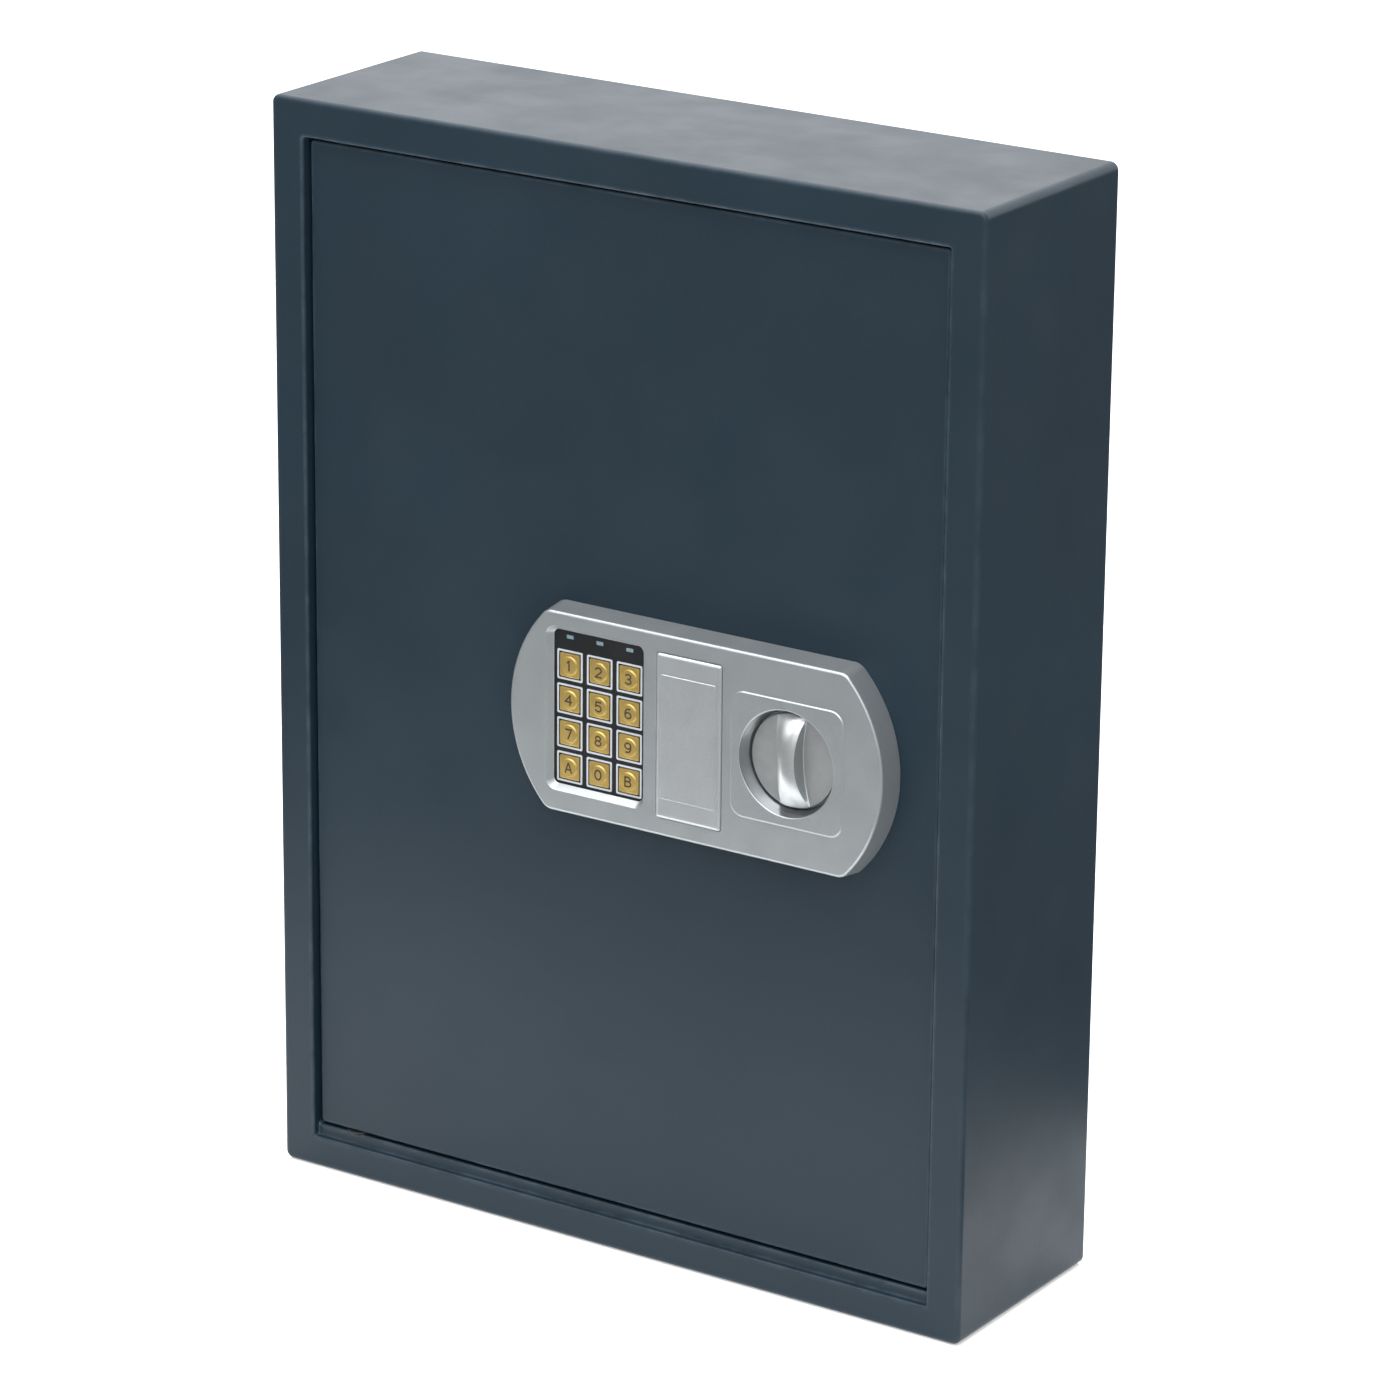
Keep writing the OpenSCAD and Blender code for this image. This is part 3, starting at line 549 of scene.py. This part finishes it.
def squircle(hx, hz, r, n=64):
    out = []
    for i in range(n):
        a = math.tau * i / n
        c, s = math.cos(a), math.sin(a)
        k = min(hx / max(abs(c), 1e-9), hz / max(abs(s), 1e-9))
        x, z = c * k, s * k
        dx, dz = abs(x) - (hx - r), abs(z) - (hz - r)
        if dx > 0 and dz > 0:
            q = math.hypot(dx, dz)
            x, z = math.copysign(hx - r + dx / q * r, x), math.copysign(hz - r + dz / q * r, z)
        out.append((x, z))
    return out


KY = YD - 9.45
for row, names in enumerate(("123", "456", "789", "A0B")):
    for col, ch in enumerate(names):
        cx, cz = KX + (col - 1) * 15, 20.5 - row * 15
        sq = lambda hx, hz, r, y: [(cx + x, y, cz + z) for x, z in squircle(hx, hz, r)]
        ci = lambda r: [(cx + r * math.cos(math.tau * i / 64), KY - key_height(r), cz + r * math.sin(math.tau * i / 64)) for i in range(64)]
        L = [sq(5.9, 6.0, 0.6, YD - 5.4), sq(6, 6.1, 0.6, YD - 5.6), sq(6, 6.1, 0.6, YD - 6.6), sq(5, 5.25, 0.45, YD - 6.61), sq(5, 5.25, 0.45, KY + 0.3), sq(4.92, 5.17, 0.42, KY + 0.1), sq(4.72, 4.97, 0.4, KY)]
        L += [ci(r) for r in (4.3, 4.2, 4.1, 4.0, 3.9, 3.8, 3.7, 3.6, 3.4, 2.9, 2.1, 1.3, 0.5)]
        cap = loft("keycap_" + ch.lower(), L)
        nbase = len(cap.data.polygons)
        ribbons = []
        for path in glyph(ch):
            pts = resample([Vector((x * 1.66, 0, z * 1.42)) for x, z in path])
            closed = (pts[0] - pts[-1]).length < 1e-4
            if closed:
                pts = pts[:-1]
            n = len(pts)
            hw, a, b = 0.36, [], []
            for i, p in enumerate(pts):
                d0 = (p - pts[i - 1]) if (i or closed) else (pts[1] - p)
                d1 = (pts[(i + 1) % n] - p) if (i < n - 1 or closed) else d0
                d0, d1 = d0.normalized(), d1.normalized()
                m = (d0 + d1).normalized()
                side = Vector((-m.z, 0, m.x)) * hw / max(0.45, m.dot(d0))
                if not closed and i in (0, n - 1):
                    p = p + m * (hw * 0.6 if i else -hw * 0.6)
                a.append(p + side)
                b.append(p - side)
            c_ = [(u + v) / 2 for u, v in zip(a, b)]
            rows = []
            for q, lift in ((a, -0.05), (a, 0.03), (c_, 0.045), (b, 0.03), (b, -0.05)):
                rows.append([(cx + p.x, KY - key_height(math.hypot(p.x, p.z)) - lift, cz + p.z) for p in q])
            verts = [v for r_ in rows for v in r_]
            faces = []
            for k in range(5):
                for i in range(n if closed else n - 1):
                    j = (i + 1) % n
                    faces.append((k * n + i, k * n + j, ((k + 1) % 5) * n + j, ((k + 1) % 5) * n + i))
            if not closed:
                faces += [tuple(k * n for k in range(5)), tuple(k * n + n - 1 for k in range(5))]
            ribbons.append(obj_from("g", verts, faces))
        join(cap, ribbons)
        for p in cap.data.polygons[nbase:]:
            p.material_index = 1
        idx = [p.material_index for p in cap.data.polygons]
        polish(cap, 30)
        cap.data.materials.append(M["gold_key"])
        cap.data.materials.append(M["key_print"])
        for p, k in zip(cap.data.polygons, idx):
            if len(idx) == len(cap.data.polygons):
                p.material_index = k
        node = "key_" + ch.lower()
        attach(cap, node + "_body")
        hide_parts(node)

frames = None
for row in range(4):
    for col in range(3):
        cx, cz = KX + (col - 1) * 15, 20.5 - row * 15
        q = [(6.4, 6.6, 0.7, YD - 9.0), (6.4, 6.6, 0.7, YD - 9.22), (6.3, 6.5, 0.6, YD - 9.3), (5.65, 5.85, 0.4, YD - 9.3), (5.55, 5.75, 0.35, YD - 9.22), (5.55, 5.75, 0.35, YD - 9.0)]
        f = loft("key_outlines", [ring(rr(cx - a, cx + a, cz - b, cz + b, r, 4), y) for a, b, r, y in q], closed=True)
        frames = join(frames, [f]) if frames else f
place(frames, "door", "zinc_steel", M["frame_print"], "key_frames")

# ---------------------------------------------------------------- inside the lock case: plunger spring and knob bush
slots = {s["node"]: s["material_slot"] for s in frame["record"]["subparts"]}
slo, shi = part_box("plunger_spring")
SX, SY, SZ0, SZ1 = (slo[0] + shi[0]) * 500, (slo[1] + shi[1]) * 500, slo[2] * 1000, shi[2] * 1000
WR, CR, TURNS, NW = 0.45, 4.15, 4.0, 8
wire = []
for k in range(int(TURNS * 28) + 1):
    a = math.tau * k / 28
    u = a / (TURNS * math.tau)
    # closed, ground ends: the pitch is small over the first and the last half turn
    z = SZ0 + WR + (SZ1 - SZ0 - 2 * WR) * (u - math.sin(math.tau * u) / math.tau * 0.85)
    wire.append([(SX + (CR + WR * math.cos(b)) * math.cos(a), SY + (CR + WR * math.cos(b)) * math.sin(a), z + WR * math.sin(b)) for b in (math.tau * i / NW for i in range(NW))])
spring = loft("return_spring", wire)
place(spring, "door", slots["plunger_spring"], M["zinc_steel"], "plunger_spring", angle=60)
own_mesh(spring)

bush = loft("shaft_bush", [[(NX + r * math.cos(math.tau * i / 64), y, r * math.sin(math.tau * i / 64)) for i in range(64)] for r, y in (
    (4.3, YD - 4.5), (5.7, YD - 4.5), (5.9, YD - 4.3), (5.9, YD + 2), (8.3, YD + 2), (8.5, YD + 2.2), (8.5, YD + 4.8), (8.3, YD + 5), (5.9, YD + 5), (5.9, YD + 5.8), (5.7, YD + 6), (4.3, YD + 6), (4.14, YD + 5.8), (4.14, YD - 4.3))], closed=True)
place(bush, "door", slots["knob_bush"], M[slots["knob_bush"]], "knob_bush")

# ---------------------------------------------------------------- CAD nodes that stay: bevels and materials
inside = {"back_panel", "lock_case", "hinge_channel", "latch_channel", "upper_stop_strip", "lower_stop_strip"}
for node, o in frame["nodes"].items():
    m = M["powder_inside"] if node in inside else M[slots[node]]
    for s in o.material_slots:
        s.material = m
    if not o.material_slots:
        o.data.materials.append(m)
    if node in {"upper_bolt", "lower_bolt", "batteries", "case_screws", "lock_case", "upper_key_rail", "middle_key_rail", "lower_key_rail", "hinge_channel", "latch_channel", "battery_lid", "bolt_carriage", "back_panel", "override_body", "override_plug", "reset_button", "door_bumpers"}:
        b = o.modifiers.new("edge", "BEVEL")
        b.width, b.segments, b.limit_method, b.angle_limit = 0.00025, 2, "ANGLE", math.radians(40)
        b.use_clamp_overlap = True

# ---------------------------------------------------------------- stage, light, camera
fm = Mat("stage_white")
fm.to("Base Color", fm.ramp(fm.noise(1.5), [(0.0, (0.86, 0.86, 0.86)), (1.0, (0.88, 0.88, 0.88))]))
fm.set(Roughness=0.9, Specular_IOR_Level=0.1, Emission_Color=(1, 1, 1, 1), Emission_Strength=0.30)


def sheet(name, rects):
    me = bpy.data.meshes.new(name)
    v, f = [], []
    for x0, x1, y0, y1 in rects:
        n = len(v)
        v += [(x0, y0, 0), (x1, y0, 0), (x1, y1, 0), (x0, y1, 0)]
        f.append((n, n + 1, n + 2, n + 3))
    me.from_pydata(v, [], f)
    me.materials.append(fm.m)
    o = bpy.data.objects.new(name, me)
    o.location = (0, 0, ZB * MM - 0.0004)
    scene.collection.objects.link(o)
    return o


T = (-0.46, 0.255, -0.38, 0.14)
table = sheet("table", [T])
floor = sheet("floor", [(-9, 9, T[3], 9), (-9, 9, -9, T[2]), (-9, T[0], T[2], T[3]), (T[1], 9, T[2], T[3])])
floor.visible_glossy = False


def area(name, loc, aim, size, power, color=(1, 1, 1)):
    l = bpy.data.lights.new(name, "AREA")
    l.shape, l.size, l.size_y, l.energy, l.color = "RECTANGLE", size[0], size[1], power, color
    o = bpy.data.objects.new(name, l)
    o.location = loc
    o.rotation_euler = (Vector(aim) - Vector(loc)).to_track_quat("-Z", "Y").to_euler()
    scene.collection.objects.link(o)
    return o


area("overhead", (-0.3, -0.1, 2.0), (-0.25, 0, 0), (2.8, 2.4), 64)
area("front_high_left", (-0.9, -2.6, 2.0), (0, 0, 0), (1.8, 1.4), 20)
area("front_high_right", (0.95, -2.3, 1.75), (0, 0, 0), (1.1, 0.9), 12)

world = bpy.data.worlds.new("soft_studio")
scene.world = world
world.use_nodes = True
wt = world.node_tree
bg = wt.nodes["Background"]
wco = wt.nodes.new("ShaderNodeTexCoord").outputs["Generated"]


def wmath(op, a, b=None):
    n = wt.nodes.new("ShaderNodeMath")
    n.operation = op
    for i, v in enumerate((a, b)):
        if v is None:
            continue
        if isinstance(v, (int, float)):
            n.inputs[i].default_value = v
        else:
            wt.links.new(v, n.inputs[i])
    return n.outputs[0]


def toward(d, lo, hi):
    """0 to 1 as a direction turns towards d."""
    n = wt.nodes.new("ShaderNodeVectorMath")
    n.operation = "DOT_PRODUCT"
    wt.links.new(wco, n.inputs[0])
    n.inputs[1].default_value = Vector(d).normalized()
    r = wt.nodes.new("ShaderNodeMapRange")
    r.interpolation_type = "SMOOTHSTEP"
    r.inputs["From Min"].default_value, r.inputs["From Max"].default_value = lo, hi
    wt.links.new(n.outputs["Value"], r.inputs["Value"])
    return r.outputs["Result"]


back = wmath("MULTIPLY", toward((0, 1, 0), 0.05, 0.5), toward((0, 0, 1), -0.08, 0.16))
low_right = toward((0.80, -0.52, -0.30), 0.80, 0.97)
high_right = toward((0.52, -0.64, 0.52), 0.82, 0.97)
top = toward((-0.35, -0.25, 0.90), 0.55, 0.97)
total = wmath("ADD", wmath("ADD", wmath("MULTIPLY", back, 1.8), wmath("MULTIPLY", low_right, 0.22)), 0.12)
total = wmath("ADD", total, wmath("ADD", wmath("MULTIPLY", high_right, 1.5), wmath("MULTIPLY", top, 0.9)))
lp = wt.nodes.new("ShaderNodeLightPath").outputs["Is Camera Ray"]
mixn = wt.nodes.new("ShaderNodeMix")
mixn.data_type = "FLOAT"
wt.links.new(lp, mixn.inputs[0])
wt.links.new(total, mixn.inputs[2])
mixn.inputs[3].default_value = 0.92
bg.inputs["Color"].default_value = (1, 1, 1, 1)
wt.links.new(mixn.outputs[0], bg.inputs["Strength"])
scene.view_settings.view_transform = "Standard"

cam = bpy.data.cameras.new("camera")
cam.sensor_width, cam.lens, cam.clip_start, cam.clip_end = 36, 156.21, 0.1, 50
co = bpy.data.objects.new("camera", cam)
scene.collection.objects.link(co)
scene.camera = co
CAM_ROWS = [[0.831855, -0.184933, 0.523275, 1.333984], [0.554918, 0.261681, -0.789677, -2.056748], [0.009106, 0.947271, 0.320304, 0.811217], [0.0, 0.0, 0.0, 1.0]]
co.matrix_world = Matrix(CAM_ROWS)
